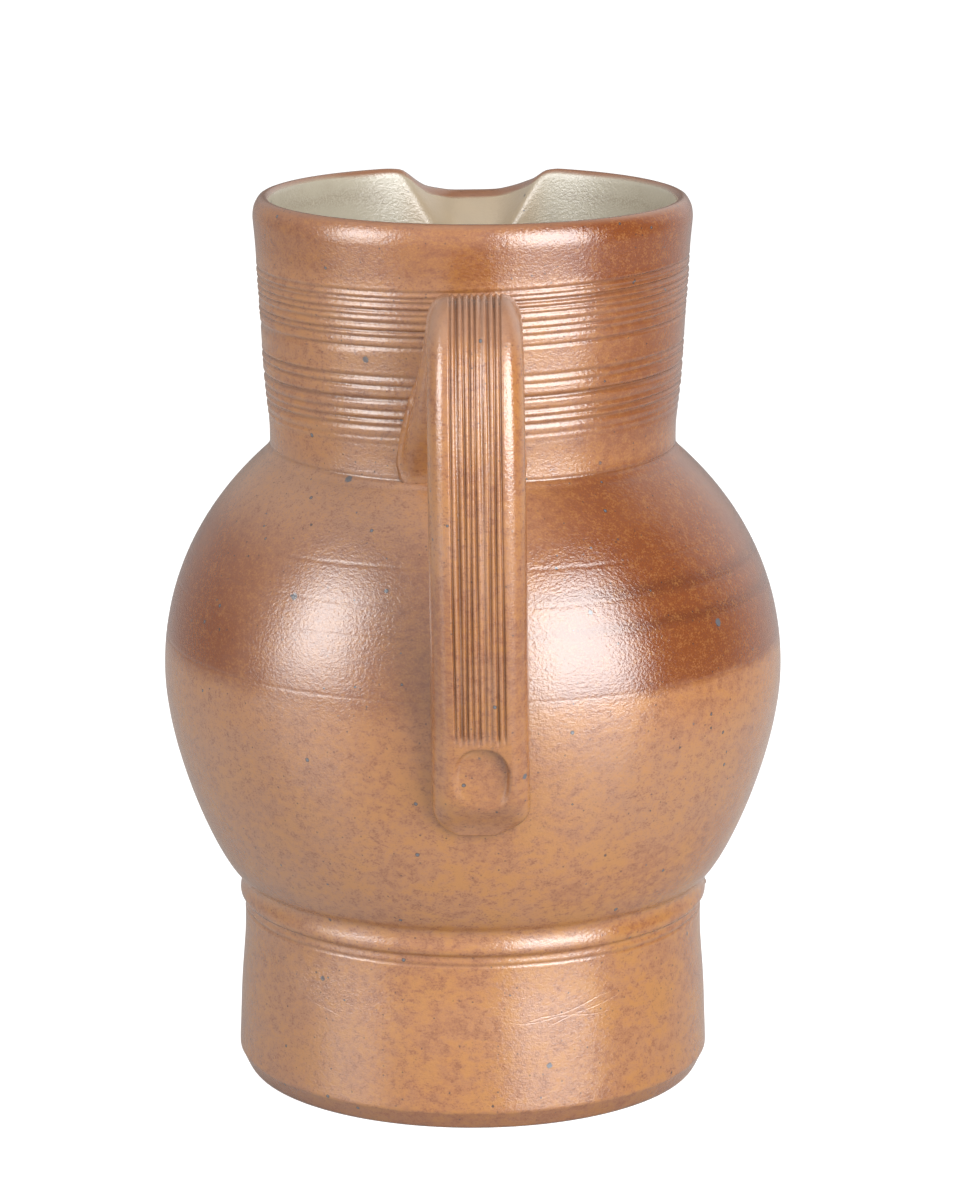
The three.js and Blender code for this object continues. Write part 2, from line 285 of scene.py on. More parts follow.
# The body turns the outer and inner walls round the axis, adds the relief to the outer one's
# radius and pulls the spout. Its attributes say how deep the hollows are, which the glaze darkens
# as pooled glaze and painted shade, and where the liner and the lip are.
def buildBody(size):
    outer, inner = outerPath(size), innerPath(size)
    outerLength, innerLength = lengthAlong(outer), lengthAlong(inner)
    outerPlaces = spacedPlaces(outerLength, outerSteps(size, outer[:, 0], outer[:, 1]))[1:]
    innerStep = rowSteps(size["innerRow"], size["innerBands"], inner[:, 1])
    innerPlaces = spacedPlaces(innerLength, innerStep)[1:-1]
    radius, z = (
        np.concatenate([
            np.interp(outerPlaces, outerLength, outer[:, k]),
            np.interp(innerPlaces, innerLength, inner[:, k])])
        for k in (0, 1))
    outside = np.arange(len(z)) < len(outerPlaces)
    turns = np.linspace(-np.pi, np.pi, 2001)
    spoutNear = smoothStep(*size["spoutReach"], np.pi - np.abs(turns))
    turnStep = 2 * np.pi / size["columns"] / (1.0 + size["spoutColumns"] * spoutNear)
    turn = spacedPlaces(turns, turnStep)[:-1]
    radiusGrid, zGrid, turnGrid = radius[:, None], z[:, None], turn[None, :]
    relief = bodyRelief(size, turnGrid, zGrid) * outside[:, None]
    wobble = unevenRound(turnGrid, 5, size["wobble"]) * smoothStep(0.0, 60.0, zGrid)
    wobble = wobble * (radiusGrid > 20.0)
    full = radiusGrid + relief + wobble
    x = full * np.sin(turnGrid)
    y = -full * np.cos(turnGrid)
    y, zMoved, share = pullSpout(size, x, y, np.broadcast_to(zGrid, x.shape))
    grid = np.stack([x, y, zMoved], axis=-1)
    poles = np.array([[0.0, 0.0, 0.0], [0.0, 0.0, inner[-1, 1]]])
    rows, columns = x.shape
    vertices = np.vstack([grid.reshape(-1, 3), poles])
    faces = closedGridFaces(rows, columns, rows * columns, rows * columns + 1)
    # depth of the hollows, which darkens them: pooled glaze and painted shade
    hollow = np.concatenate([np.clip(-relief, 0.0, 1.0).ravel(), [0.0, 0.0]])
    within = size["crestZ"] - zGrid  # how far down inside the lip
    band = size["rimBand"] + size["rimBandSpout"] * share + unevenRound(turnGrid * 3.0, 7, 0.25)
    bare = smoothStep(band + 0.7, band - 0.5, within)
    liner = np.where(outside[:, None], 0.0, 1.0 - bare)
    liner = np.concatenate([liner.ravel(), [0.0, 1.0]])
    lip = np.where(outside[:, None], smoothStep(*size["lipFade"], zGrid), bare)
    lip = np.concatenate([lip.ravel(), [0.0, 0.0]])
    return makeMesh("pitcher_body", vertices, faces, {"hollow": hollow, "liner": liner, "lip": lip})


strapHandle = {
    "stations": 300,
    "width": 23.0,
    "thickness": 10.0,
    "corner": 2.6,
    "rootWidth": 30.0,
    "rootAbove": 11.5,
    "rootBelow": 19.5,
    "rootCorner": 5.0,
    "rootFade": 26.0,
    "rootLean": -2.6,
    "tailLean": 2.4,
    "tailThickness": 1.6,
    "tailLength": 14.0,
    "tailRound": 8.5,
    "tailEndWidth": 11.0,
    "reedSpan": 13.5,
    "reeds": [-5.95, -4.4, -2.87, -1.46, -0.09, 1.46, 2.92, 4.47, 5.95],
    "reedWidths": [0.3, 0.52, 0.34, 0.32, 0.34, 0.5, 0.42, 0.34, 0.32],
    "reedDepths": [0.5, 0.6, 0.55, 0.5, 0.5, 0.42, 0.5, 0.55, 0.5],
    "reedStart": 8.0,
    "reedRunIn": 16.0,
    "reedRunOut": 4.0,
    "thumbRise": 19.2,
    "thumbHalfWidth": 7.4,
    "thumbHalfHeight": 9.6,
    "thumbDepth": 2.6,
    "fillet": 1.9,
    "tailCorner": 2.6,  # how much rounder the inner corners are near the tail's end
    "rootWidening": -0.3,  # what the width gains at the root and at the tail
    "tailWidening": 1.1,
    "tipLean": -1.3,
    "straighter": 0.6,  # added to the flank's power at the root
    "rise": [(49.6, 184.5), (60.1, 184.5), (62.0, 212.0), (80.3, 212.0)],  # reach and height
    "fall": [(80.3, 212.0), (108.0, 212.0), (104.1, 140.0), (76.1, 83.0)],
    "neckHeights": [165.3, 224.0],
    "neckRadii": [52.3, 55.8],
}


# Middle line of the strap: out of the neck, over the arch, down to the belly; (reach, height).
def strapLine(size):
    rise = bezier(*size["rise"], count=1500)
    fall = bezier(*size["fall"], count=3000)
    return np.vstack([rise, fall[1:]])


# Outline of the strap's section as (across, out): the reeded face, the flank as a quarter ellipse
# drawn straighter by a power, the round inner corner, the flat underside and the same back up
# the other side.
def strapSection(halfWidth, above, below, corner, span, straight):
    acrossTop = np.linspace(-0.5, 0.5, 91)[None, :] * span
    flankTurn = np.linspace(0.0, np.pi / 2, 15)[None, 1:]
    cornerTurn = np.linspace(0.0, np.pi / 2, 7)[None, 1:]
    flankAcross = span / 2 + (halfWidth - span / 2) * np.sin(flankTurn) ** straight
    flankRise = np.clip(np.cos(flankTurn), 0.0, 1.0) ** straight
    flankOut = corner - below + (above + below - corner) * flankRise
    cornerAcross = halfWidth - corner + corner * np.cos(cornerTurn)
    cornerOut = corner - below - corner * np.sin(cornerTurn)
    underAcross = (halfWidth - corner) * np.linspace(1.0, 0.0, 8)[None, 1:-1]
    underOut = -below + 0.0 * underAcross
    rightAcross = np.hstack([flankAcross, cornerAcross, underAcross])
    rightOut = np.hstack([flankOut, cornerOut, underOut])
    topOut = above + 0.0 * acrossTop
    across = np.hstack([acrossTop, rightAcross, 0.0 * halfWidth, -rightAcross[:, ::-1]])
    out = np.hstack([topOut, rightOut, -below, rightOut[:, ::-1]])
    return across, out, acrossTop.shape[1]


# Stations along the strap, closer at its ends: the share of its length, the distance from the
# root, the middle, and the direction outwards, which starts upright and turns square to the line.
def strapStations(size):
    path = strapLine(size)
    lengths = lengthAlong(path)
    share = np.linspace(0.0, 1.0, size["stations"])
    share = mix(share, (1.0 - np.cos(np.pi * share)) / 2.0, 0.5)
    distance = share * lengths[-1]
    slope = np.gradient(path, lengths, axis=0)
    middle, heading = (
        np.stack([np.interp(distance, lengths, values[:, k]) for k in (0, 1)], axis=-1)
        for values in (path, slope))
    upright = 1.0 - smoothStep(0.0, size["rootFade"], distance)[:, None]
    outward = np.stack([-heading[:, 1], heading[:, 0]], axis=-1)
    outward = outward * (1.0 - upright) + np.array([0.0, 1.0]) * upright
    outward /= np.linalg.norm(outward, axis=1, keepdims=True)
    return share[:, None], distance[:, None], lengths[-1] - distance[:, None], middle, outward


# One groove per reed, drifting a little along the strap; they run in after the root and run out
# before the thumb's press.
def reedRelief(size, across, distance, toTip):
    runIn = smoothStep(size["reedStart"], size["reedStart"] + size["reedRunIn"], distance)
    reedEnd = size["thumbRise"] + size["thumbHalfHeight"]
    runOut = smoothStep(reedEnd, reedEnd + size["reedRunOut"], toTip)
    relief = np.zeros(across.shape)
    reeds = zip(size["reeds"], size["reedWidths"], size["reedDepths"])
    for index, (place, width, depth) in enumerate(reeds):
        drift = 0.12 * np.sin(distance / 21.0 + index * 1.7)
        strength = 1.0 + 0.2 * np.sin(distance / 9.0 + index * 2.3)
        relief += groove(across - place - drift, width, depth * strength)
    return relief * runIn * runOut


# Press of the thumb: a dish with a squarish oval edge, deepest above and on the right, running
# out to nothing below and on the left.
def thumbPress(size, across, toTip):
    aside = across / size["thumbHalfWidth"]
    along = (toTip - size["thumbRise"]) / size["thumbHalfHeight"]
    inside = np.clip(1.0 - np.abs(aside) ** 2.4 - np.abs(along) ** 2.4, 0.0, 1.0)
    tilted = np.clip(0.55 + 0.42 * along + 0.3 * aside, 0.0, 1.0)
    return -size["thumbDepth"] * tilted * smoothStep(0.0, mix(0.75, 0.3, tilted), inside)


# Reach and height of the section's points: out from the strap's middle line.
def placeOut(middle, outward, out):
    return middle[:, :1] + outward[:, :1] * out, middle[:, 1:] + outward[:, 1:] * out


# The handle carries its section along the middle line, wider and deeper at the root, thinner and
# rounder at the tail. Close to the neck the section swells by what a quarter circle leaves.
def buildHandle(size):
    share, distance, toTip, middle, outward = strapStations(size)
    rooted = np.clip(1.0 - distance / size["rootFade"], 0.0, 1.0) ** 2
    thinned = 1.0 - smoothStep(0.0, size["tailLength"], toTip)
    nearTip = np.clip(1.0 - toTip / size["tailRound"], 0.0, 1.0)
    endShare = size["tailEndWidth"] / size["width"]
    rounded = np.sqrt(1.0 - nearTip**2 * (1.0 - endShare**2))
    width = size["width"] + mix(size["rootWidening"], size["tailWidening"], share)
    halfWidth = mix(width, size["rootWidth"], rooted) / 2.0 * rounded
    half = size["thickness"] / 2.0
    below = mix(half, size["rootBelow"], rooted)
    above = mix(mix(half, size["tailThickness"], thinned), size["rootAbove"], rooted)
    corner = size["corner"] + size["tailCorner"] * smoothStep(34.0, 12.0, toTip)
    corner = mix(corner, size["rootCorner"], rooted)
    leaning = smoothStep(0.0, size["rootFade"] * 1.5, distance)
    lean = mix(size["rootLean"], size["tailLean"] * share, leaning) + size["tipLean"] * nearTip**2
    span = size["reedSpan"] * np.minimum(1.0, halfWidth / (size["width"] / 2.0))
    straight = 1.0 + size["straighter"] * rooted
    across, out, topCount = strapSection(halfWidth, above, below, corner, span, straight)

    topAcross = across[:, :topCount] * (size["reedSpan"] / span)
    relief = reedRelief(size, topAcross, distance, toTip)
    out[:, :topCount] += relief + thumbPress(size, topAcross, toTip)
    # depth of the reeds' hollows, which darkens them: pooled glaze and painted shade
    hollow = np.zeros(across.shape)
    hollow[:, :topCount] = np.clip(-relief, 0.0, 1.0)

    reach, height = placeOut(middle, outward, out)
    neckRadius = np.interp(height, size["neckHeights"], size["neckRadii"])
    close = np.clip(np.hypot(lean + across, reach) - neckRadius, 0.0, size["fillet"])
    fillet = size["fillet"] - np.sqrt(size["fillet"] ** 2 - (size["fillet"] - close) ** 2)
    swell = 1.0 + fillet * (distance < size["rootFade"]) / np.hypot(across, out)
    across, out = across * swell, out * swell
    reach, height = placeOut(middle, outward, out)
    grid = np.stack([lean + across, -reach, height], axis=-1)
    rows, columns = across.shape
    grid = grid[:, ::-1]
    hollow = hollow[:, ::-1]
    ends = np.array([
        [size["rootLean"], -middle[0, 0], middle[0, 1]],
        [size["tailLean"], -middle[-1, 0], middle[-1, 1]],
    ])
    vertices = np.vstack([grid.reshape(-1, 3), ends])
    faces = closedGridFaces(rows, columns, rows * columns, rows * columns + 1)
    hollow = np.concatenate([hollow.ravel(), [0.0, 0.0]])
    none = np.zeros(len(hollow))
    return makeMesh("pitcher_handle", vertices, faces, {"hollow": hollow, "liner": none, "lip": none})


# A socket that can be written in sums and products; each sign adds one Math node.
class Value:
    def __init__(self, graph, socket):
        self.graph = graph
        self.socket = socket

    def __add__(self, other):
        return self.graph.maths("ADD", self, other)

    def __radd__(self, other):
        return self.graph.maths("ADD", other, self)

    def __sub__(self, other):
        return self.graph.maths("SUBTRACT", self, other)

    def __rsub__(self, other):
        return self.graph.maths("SUBTRACT", other, self)

    def __mul__(self, other):
        return self.graph.maths("MULTIPLY", self, other)

    def __rmul__(self, other):
        return self.graph.maths("MULTIPLY", other, self)

    def __truediv__(self, other):
        return self.graph.maths("DIVIDE", self, other)


class Graph:
    def __init__(self, material):
        material.use_nodes = True
        self.tree = material.node_tree
        self.tree.nodes.clear()

    def add(self, kind, settings=None, sockets=None):
        node = self.tree.nodes.new(kind)
        for name, setting in (settings or {}).items():
            setattr(node, name, setting)
        for name, value in (sockets or {}).items():
            socket = node.inputs[name]
            if isinstance(value, Value):
                self.tree.links.new(value.socket, socket)
            else:
                socket.default_value = value
        return node

    def out(self, node, name=0):
        return Value(self, node.outputs[name])

    def maths(self, operation, a, b=0.0):
        return self.out(self.add("ShaderNodeMath", {"operation": operation}, {0: a, 1: b}))

    def largest(self, a, b):
        return self.maths("MAXIMUM", a, b)

    def smallest(self, a, b):
        return self.maths("MINIMUM", a, b)

    def between(self, value, low, high, start=0.0, end=1.0):
        sockets = {"Value": value, "From Min": low, "From Max": high, "To Min": start, "To Max": end}
        return self.out(self.add("ShaderNodeMapRange", {"interpolation_type": "SMOOTHSTEP"}, sockets))

    def bell(self, value, middle, width):
        offset = (value - middle) / width
        return self.maths("EXPONENT", offset * offset * -1.0)

    def scaled(self, vector, scale):
        sockets = {0: vector, 1: scale}
        return self.out(self.add("ShaderNodeVectorMath", {"operation": "MULTIPLY"}, sockets))

    def moved(self, vector, offset):
        return self.out(self.add("ShaderNodeVectorMath", {"operation": "ADD"}, {0: vector, 1: offset}))

    def apart(self, vector, point):
        sockets = {0: vector, 1: point}
        return self.out(self.add("ShaderNodeVectorMath", {"operation": "DISTANCE"}, sockets), "Value")

    def dot(self, vector, direction):
        sockets = {0: vector, 1: direction}
        return self.out(self.add("ShaderNodeVectorMath", {"operation": "DOT_PRODUCT"}, sockets), "Value")

    def noise(self, vector, scale, detail, roughness):
        sockets = {"Vector": vector, "Scale": scale, "Detail": detail, "Roughness": roughness}
        return self.out(self.add("ShaderNodeTexNoise", None, sockets), "Fac")

    # Distance from the nearest of some scattered points, and two numbers drawn for that point.
    def cells(self, vector, scale):
        node = self.add("ShaderNodeTexVoronoi", {"feature": "F1"}, {"Vector": vector, "Scale": scale})
        drawn = self.add("ShaderNodeSeparateColor", None, {0: self.out(node, "Color")})
        return self.out(node, "Distance"), self.out(drawn, 0), self.out(drawn, 1)

    def colour(self, factor, a, b):
        node = self.add("ShaderNodeMix", {"data_type": "RGBA"})
        for socket, value in zip([node.inputs[0], node.inputs[6], node.inputs[7]], [factor, a, b]):
            if isinstance(value, Value):
                self.tree.links.new(value.socket, socket)
            else:
                socket.default_value = value
        return Value(self, node.outputs[2])

    def attribute(self, name):
        return self.out(self.add("ShaderNodeAttribute", {"attribute_name": name}), "Fac")

    # Sum of zones: each is its strength times the fades that bound it.
    def zones(self, fields, zoneList):
        total = 0.0
        for strength, *fades in zoneList:
            for field, *fade in fades:
                strength = self.between(fields[field], *fade) * strength
            total = strength + total
        return total

    def finish(self, kind, shader):
        output = self.add(kind)
        self.tree.links.new(shader.outputs[0], output.inputs[0])


def tone(red, green, blue):
    return (red, green, blue, 1.0)


# A fade names a field and says from where to where it rises, in millimetres or in the noise's
# own values; two more numbers say what it rises from and to, where that isn't 0 and 1.
saltGlaze = {
    "tan": tone(0.252, 0.098, 0.034),
    "paleTan": tone(0.272, 0.117, 0.048),
    "ochre": tone(0.295, 0.128, 0.033),
    "rust": tone(0.2, 0.067, 0.021),
    "brown": tone(0.125, 0.040, 0.015),
    "burnt": tone(0.075, 0.014, 0.002),
    # rust-brown of the flashing, used also as painted shade on the belly beside the handle
    "flashAndShade": tone(0.128, 0.029, 0.004),
    # grey of the ash patches, used also for the painted sheen on the top of the handle's arch
    "ashAndSheen": tone(0.232, 0.122, 0.074),
    "speck": tone(0.030, 0.020, 0.018),
    "blueGrey": tone(0.095, 0.11, 0.13),
    "liner": tone(0.335, 0.30, 0.23),
    "linerWarm": tone(0.33, 0.245, 0.155),
    "linerShade": tone(0.24, 0.205, 0.15),
    "lip": tone(0.20, 0.092, 0.05),
    # dark brown of the hollows: partly pooled glaze, partly painted shade
    "hollow": tone(0.10, 0.036, 0.015),
    "spots": [  # middle and radius of the largest iron spots and pits
        ((-43.9, -58.5, 138.2), 1.1), ((-26.2, -47.3, 195.6), 1.0), ((61.5, -46.4, 128.8), 1.3),
        ((-30.7, -43.0, 164.6), 1.2), ((19.5, -58.2, 16.4), 0.9), ((-38.3, -46.5, 35.7), 0.9),
        ((13.0, -87.0, 100.0), 1.0), ((1.7, -88.0, 105.0), 0.8), ((30.0, -66.0, 142.0), 0.9)],
    "roughness": 0.17,
    "peel": 0.27,
    "peelDepth": 0.0004,
    "refraction": 1.73,
    "coat": (0.1, 0.12),  # weight and roughness
    "noises": {  # scale, detail and roughness
        "broad": (0.02, 2.0, 0.55), "cloud": (0.075, 3.0, 0.6), "mottle": (0.36, 4.0, 0.68),
        "grain": (1.7, 2.0, 0.7), "fine": (1.05, 2.0, 0.7)},
    "turned": (1.0, 1.0, 1.35),  # patterns are drawn out round the wheel
    "rippled": (1.0, 1.0, 1.4),  # and the orange peel with them
    "ashZones": [  # strength, then fades
        (0.45, ("x", 2.0, -62.0), ("z", 172.0, 160.0, 0.3, 1.0)),
        (0.15, ("cloud", 0.55, 0.42)),
        (0.4, ("x", 10.0, -20.0), ("z", 132.0, 158.0), ("z", 172.0, 163.0)),
        (0.4, ("x", 10.0, 40.0), ("z", 114.0, 98.0), ("z", 66.0, 84.0))],
    "ochreZones": [(1.0, ("patches", 0.46, 0.6), ("z", 112.0, 88.0, 0.45, 0.85))],
    "shoulderFlash": [
        (1.0, ("x", 2.0, 32.0), ("edge", 114.0, 118.0), ("edge", 158.0, 146.0, 0.8, 0.95),
         ("edge", 169.0, 164.0))],
    "otherFlashAndShade": [  # left side of the belly, its far left, right side of the neck, rim
        # the left of the belly, from the handle outwards: real flashing and also the handle's shadow,
        # painted in as darker flash
        (0.46, ("x", 4.0, -12.0), ("leftEdge", 107.0, 116.0), ("edge", 160.0, 144.0)),
        (0.45, ("x", -46.0, -68.0), ("leftEdge", 107.0, 116.0), ("edge", 160.0, 144.0)),
        (0.75, ("x", 12.0, 46.0), ("z", 168.0, 176.0, 0.35, 1.0), ("z", 164.0, 166.0)),
        (1.0, ("rimEdge", 213.0, 219.0), ("x", -20.0, 48.0, 0.38, 0.75))],
    "streaks": [(138.4, 1.6), (130.6, 1.5)],  # height and width of the burnt streaks
    # grey on the top of the handle's arch: a painted sheen of the sky
    "archSheen": [(0.7, ("z", 203.0, 212.0), ("y", -62.0, -70.0))],
    "bevelBrown": [(0.4, ("bevelEdge", 4.9, 4.3), ("z", -0.5, 0.2))],
    "linerWarmth": [(0.8, ("aside", 22.0, 12.0), ("y", 0.0, 20.0))],
    "linerSoot": [(0.9, ("grain", 0.4, 0.6), ("aside", 20.0, 26.0))],
    "sootLine": (226.5, 2.2),  # height and width
    "linerCloud": [(0.2, ("cloud", 0.5, 0.3))],
    "paleZones": [(1.0, ("broad", 0.38, 0.62))],
    "rustZones": [(0.55, ("patches", 0.51, 0.38))],
    "ochreFlecks": [(1.0, ("patchy", 0.47, 0.63))],
    "brownFlecks": [(0.62, ("patchy", 0.5, 0.34))],
    "ashMost": 0.75,  # the most that a tint may cover
    "flashAndShadeMost": 0.98,
    "streakMost": 0.7,
    "hollowMost": 0.55,
    "sootMost": 0.85,
    "fineSpeckScale": 0.62,
    "speckScale": 0.26,
    "front": [(1.0, ("y", 0.0, -20.0))],
    "scuffAcross": (-40.0, 9.0),  # middle and width of the rough patch on the foot
    "scuffUp": (28.3, 3.4),
    "scratches": [  # from and to across, rise per mm across, height at the middle, waviness
        (-52.0, -33.0, -0.28, 17.5, 0.3), (12.0, 38.0, 0.24, 24.5, 0.4), (10.0, 40.0, 0.02, 28.0, 0.5),
        (20.0, 46.0, 0.3, 21.0, 0.3)],
}


# The fields that fades name: place in millimetres, the piece's attributes, noises of several
# sizes, and heights made ragged by the noises.
def glazeFields(graph, look):
    place = graph.out(graph.add("ShaderNodeTexCoord"), "Object")
    place = graph.scaled(place, (1.0 / metre, 1.0 / metre, 1.0 / metre))
    parts = graph.add("ShaderNodeSeparateXYZ", None, {0: place})
    fields = {name: graph.out(parts, k) for k, name in enumerate("xyz")}
    for name in ("liner", "lip", "hollow"):
        fields[name] = graph.attribute(name)
    turned = graph.scaled(place, look["turned"])
    for name in ("broad", "cloud", "mottle"):
        fields[name] = graph.noise(turned, *look["noises"][name])
    fields["grain"] = graph.noise(graph.moved(turned, (17.0, 5.0, 9.0)), *look["noises"]["grain"])
    fields["fine"] = graph.noise(graph.scaled(place, look["rippled"]), *look["noises"]["fine"])
    x, z, cloud, mottle = (fields[name] for name in ("x", "z", "cloud", "mottle"))
    fields["place"] = place
    fields["aside"] = graph.maths("ABSOLUTE", x)
    fields["patches"] = cloud * 0.5 + mottle * 0.5
    fields["patchy"] = fields["grain"] * 0.55 + mottle * 0.45
    fields["edge"] = z + (cloud - 0.5) * 5.0
    fields["leftEdge"] = fields["edge"] + x * 0.05
    fields["rimEdge"] = z + (cloud - 0.5) * 8.0
    fields["bevelEdge"] = z + (mottle - 0.5)
    return fields


# Tan ground with paler, rustier, more ochre and ashier patches over each other.
def glazeGround(graph, look, fields):
    colour = look["tan"]
    for zoneName, tint in (("paleZones", "paleTan"), ("rustZones", "rust"), ("ochreZones", "ochre")):
        colour = graph.colour(graph.zones(fields, look[zoneName]), colour, look[tint])
    ashAndSheen = graph.smallest(graph.zones(fields, look["ashZones"]), look["ashMost"])
    return graph.colour(ashAndSheen, colour, look["ashAndSheen"])


# Rust-brown flashing on the shoulder, left side, neck and rim, which on the left of the belly
# also stands for the handle's shadow as painted shade, burnt streaks on the shoulder, and fine
# flecks of ochre and brown over it all.
def glazeFlash(graph, look, fields, colour):
    cloud, mottle, grain = (fields[name] for name in ("cloud", "mottle", "grain"))
    shoulder = graph.zones(fields, look["shoulderFlash"])
    strength = shoulder + graph.zones(fields, look["otherFlashAndShade"])
    uneven = 0.5 + cloud * 0.5 + mottle * 0.35 + grain * 0.35
    # the flashing, which on the left of the belly is also painted shade from the handle
    flashAndShade = graph.smallest(strength * uneven, look["flashAndShadeMost"])
    colour = graph.colour(flashAndShade, colour, look["flashAndShade"])
    streaks = 0.0
    for height, width in look["streaks"]:
        streaks = graph.bell(fields["z"] - cloud * 3.0, height, width) + streaks
    burnt = graph.smallest(streaks * shoulder * mottle * 1.6, look["streakMost"])
    colour = graph.colour(burnt, colour, look["burnt"])
    flecks = graph.zones(fields, look["ochreFlecks"]) * (0.5 - flashAndShade * 0.12)
    colour = graph.colour(flecks, colour, look["ochre"])
    return graph.colour(graph.zones(fields, look["brownFlecks"]), colour, look["brown"])


# Tints of single places: grey on the top of the handle's arch as a painted sheen of the sky, the
# hollows darker by their depth as pooled glaze and painted shade, the bevel, the lip and the
# liner inside, which is warmer at the spout and sooty in a line under the rim.
def glazePlaces(graph, look, fields, colour):
    cloud = fields["cloud"]
    # the top of the arch greyed as a painted sheen of the sky, in the ash's grey
    colour = graph.colour(graph.zones(fields, look["archSheen"]), colour, look["ashAndSheen"])
    # the hollows darker by their depth: partly glaze pooled in them, partly painted shade
    hollow = graph.smallest(fields["hollow"] * 0.95, look["hollowMost"])
    colour = graph.colour(hollow, colour, look["hollow"])
    colour = graph.colour(graph.zones(fields, look["bevelBrown"]), colour, look["brown"])
    colour = graph.colour(fields["lip"] * (0.6 + cloud * 0.4), colour, look["lip"])
    warmth = graph.zones(fields, look["linerWarmth"])
    inside = graph.colour(warmth, look["liner"], look["linerWarm"])
    soot = graph.bell(fields["z"] + cloud * 6.0, *look["sootLine"])
    soot = soot * graph.zones(fields, look["linerSoot"]) + graph.zones(fields, look["linerCloud"])
    inside = graph.colour(graph.smallest(soot, look["sootMost"]), inside, look["linerShade"])
    return graph.colour(fields["liner"], colour, inside)


# Iron specks of two sizes scattered at random, and the largest ones where the list has them. The
# larger ones have a blue-grey core.
def glazeSpecks(graph, look, fields, colour):
    place, grain = fields["place"], fields["grain"]
    away, chance = graph.cells(graph.moved(place, (3.1, 7.7, 1.9)), look["fineSpeckScale"])[:2]
    fineSpecks = graph.between(away + (grain - 0.5) * 0.15, 0.2, 0.1) * graph.between(chance, 0.8, 0.9)
    colour = graph.colour(fineSpecks * (0.7 - fields["liner"] * 0.6), colour, look["speck"])
    away, chance, bigness = graph.cells(graph.moved(place, (13.1, 2.7, 5.9)), look["speckScale"])
    away = (away + (grain - 0.5) * 0.09) / (0.065 + bigness * bigness * 0.13)
    chosen = graph.between(chance, 0.7, 0.74)
    drops = graph.between(away, 1.0, 0.75) * chosen
    cores = graph.between(away, 0.75, 0.45) * chosen
    spots = 0.0
    for middle, radius in look["spots"]:
        reach = graph.apart(place, middle) + (grain - 0.5) * 0.6
        spots = graph.between(reach, radius, radius * 0.6) + spots
    colour = graph.colour(graph.largest(drops, spots) * 0.88, colour, look["speck"])
    return graph.colour(graph.largest(cores, spots * bigness) * 0.65, colour, look["blueGrey"])


# Height of the surface: the orange peel, a scuffed patch on the left of the foot, and scratches,
# each a narrow bell about a slanting line that wavers with a sine.
def glazeHeight(graph, look, fields):
    x, z, fine = (fields[name] for name in ("x", "z", "fine"))
    front = graph.zones(fields, look["front"])
    scuff = graph.bell(x, *look["scuffAcross"]) * graph.bell(z + x * 0.15, *look["scuffUp"]) * front
    scratches = 0.0
    for start, end, slant, height, wave in look["scratches"]:
        wander = graph.maths("SINE", x * 0.35 + height) * wave
        line = graph.bell(z - x * slant + wander + fine * 0.7, height + 0.35, 0.13)
        line = line * graph.between(x, start - 3.0, start + 3.0)
        scratches = line * graph.between(x, end + 3.0, end - 3.0) + scratches
    rough = graph.between(fine, 0.5, 0.6) * scuff
    return fine * 1.25 + rough * 4.5 - scratches * front * 0.5


def makeGlaze(name, look):
    material = bpy.data.materials.new(name)
    graph = Graph(material)
    fields = glazeFields(graph, look)
    colour = glazeGround(graph, look, fields)
    colour = glazeFlash(graph, look, fields, colour)
    colour = glazePlaces(graph, look, fields, colour)
    colour = glazeSpecks(graph, look, fields, colour)
    bump = graph.add("ShaderNodeBump", None, {
        "Strength": look["peel"],
        "Distance": look["peelDepth"],
        "Height": glazeHeight(graph, look, fields),
    })
    shader = graph.add("ShaderNodeBsdfPrincipled", None, {
        "Base Color": colour,
        "Roughness": look["roughness"] + (fields["mottle"] - 0.5) * 0.12 + fields["liner"] * 0.14,
        "IOR": look["refraction"],
        "Coat Weight": look["coat"][0],
        "Coat Roughness": look["coat"][1],
        "Normal": graph.out(bump, "Normal"),
    })
    graph.finish("ShaderNodeOutputMaterial", shader)
    return material


studio = {
    "cameraPlace": (0.00229, -1.157, 0.392),
    "cameraTilt": 13.07,  # degrees below level
    "lens": 136.7,
    "sensor": 36.0,
    "roomDim": 0.2,  # radiance of the room behind the vessel, where white is 1
    "roomBright": 1.12,  # the same in front of it, on the left
    "roomTowards": (-0.42, -0.8, 0.43),
    "roomFade": (-0.2, 1.0),  # cosine of the turn from there, at which it is dim and bright
    "walls": [  # direction of the pale walls behind, and how pale
        ((0.55, 0.74, 0.39), 0.8), ((-0.55, 0.74, 0.39), 0.35)],
    "wallFade": (0.78, 0.98),
    "softboxes": [
        {"name": "softbox_right", "azimuth": 40.0, "distance": 1.0, "width": 0.77,
         "low": 0.05, "high": 1.08, "radiance": 9.9,
         "layers": [(1.0, 0.8), (0.8, 0.2)]},  # share of the size and of the radiance
        {"name": "softbox_left", "azimuth": -59.5, "distance": 1.0, "width": 0.64,
         "low": 0.05, "high": 1.05, "radiance": 7.8,
         "layers": [(1.0, 0.3), (0.75, 0.35), (0.5, 0.35)]},
    ],
    "floorHalf": 12.0,
    "board": tone(0.5, 0.5, 0.5),
    "boardRoughness": 0.12,
    "boardGlow": 0.82,  # the board is lit from behind, for the camera only
}


def buildCamera(look):
    camera = bpy.data.objects.new("camera", bpy.data.cameras.new("camera"))
    camera.location = look["cameraPlace"]
    camera.rotation_euler = (math.radians(90.0 - look["cameraTilt"]), 0.0, 0.0)
    camera.data.lens = look["lens"]
    camera.data.sensor_width = look["sensor"]
    camera.data.sensor_fit = "AUTO"
    bpy.context.scene.collection.objects.link(camera)
    bpy.context.scene.camera = camera


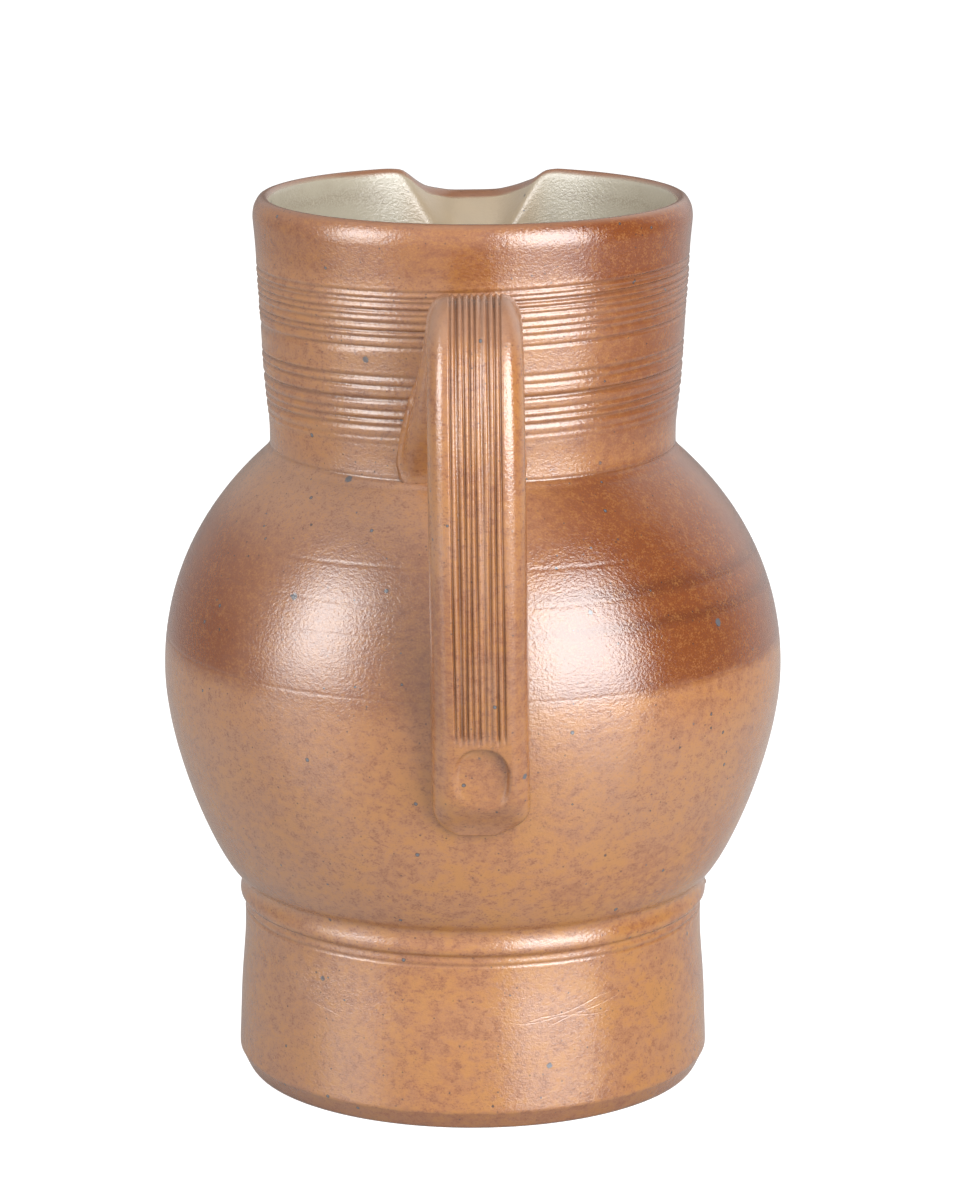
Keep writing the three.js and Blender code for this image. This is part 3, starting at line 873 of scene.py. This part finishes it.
# A softbox stands at an azimuth from the camera's side, right being positive, and faces the axis.
# It is brighter in its middle: layers of lessening size. Power is radiance times area times pi.
def buildSoftbox(box):
    turn = math.radians(box["azimuth"])
    for index, (sizeShare, radianceShare) in enumerate(box["layers"]):
        name = box["name"] + "_" + str(index)
        light = bpy.data.lights.new(name, "AREA")
        light.shape = "RECTANGLE"
        light.size = box["width"] * sizeShare
        light.size_y = (box["high"] - box["low"]) * sizeShare
        light.energy = box["radiance"] * radianceShare * light.size * light.size_y * math.pi
        lamp = bpy.data.objects.new(name, light)
        distance = box["distance"] - 0.002 * index
        middle = (box["low"] + box["high"]) / 2.0
        lamp.location = (math.sin(turn) * distance, -math.cos(turn) * distance, middle)
        lamp.rotation_euler = (math.radians(90.0), 0.0, turn)
        lamp.visible_camera = False
        bpy.context.scene.collection.objects.link(lamp)


def buildFloor(look):
    half = look["floorHalf"]
    corners = [(-half, -half, 0.0), (half, -half, 0.0), (half, half, 0.0), (-half, half, 0.0)]
    mesh = bpy.data.meshes.new("floor")
    mesh.from_pydata(corners, [], [(0, 1, 2, 3)])
    floor = bpy.data.objects.new("floor", mesh)
    bpy.context.scene.collection.objects.link(floor)
    material = bpy.data.materials.new("white_board")
    graph = Graph(material)
    seen = graph.out(graph.add("ShaderNodeLightPath"), "Is Camera Ray")
    shader = graph.add("ShaderNodeBsdfPrincipled", None, {
        "Base Color": look["board"],
        "Roughness": look["boardRoughness"],
        "Emission Color": graph.colour(seen, tone(0.0, 0.0, 0.0), tone(1.0, 1.0, 1.0)),
        "Emission Strength": look["boardGlow"],
    })
    graph.finish("ShaderNodeOutputMaterial", shader)
    mesh.materials.append(material)


# The camera sees plain white. Everything else sees a room that brightens towards one side with
# the cosine of the turn from it, and has two pale walls behind.
def buildSky(look):
    world = bpy.data.worlds.new("studio_white")
    bpy.context.scene.world = world
    graph = Graph(world)
    seen = graph.out(graph.add("ShaderNodeLightPath"), "Is Camera Ray")
    heading = graph.out(graph.add("ShaderNodeTexCoord"), "Generated")
    share = graph.between(graph.dot(heading, look["roomTowards"]), *look["roomFade"])
    for direction, pale in look["walls"]:
        share = share + graph.between(graph.dot(heading, direction), *look["wallFade"]) * pale
    share = graph.smallest(share, 1.0)
    dim, bright = (tone(level, level, level) for level in (look["roomDim"], look["roomBright"]))
    room = graph.colour(share, dim, bright)
    background = graph.add("ShaderNodeBackground", None, {
        "Color": graph.colour(seen, room, tone(1.0, 1.0, 1.0)), "Strength": 1.0})
    graph.finish("ShaderNodeOutputWorld", background)


print("body")
body = buildBody(thrownBody)
print("handle", len(body.data.vertices))
handle = buildHandle(strapHandle)
print("glaze")
glaze = makeGlaze("salt_glaze", saltGlaze)
for piece in (body, handle):
    piece.data.materials.append(glaze)
    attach(piece, "root")
    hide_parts("pitcher")
print("studio")
buildCamera(studio)
buildSky(studio)
buildFloor(studio)
for box in studio["softboxes"]:
    buildSoftbox(box)
bpy.context.scene.view_settings.view_transform = "Standard"
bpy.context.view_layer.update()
for piece in (body, handle):
    print(piece.name, sum(len(face.vertices) - 2 for face in piece.data.polygons), "triangles")
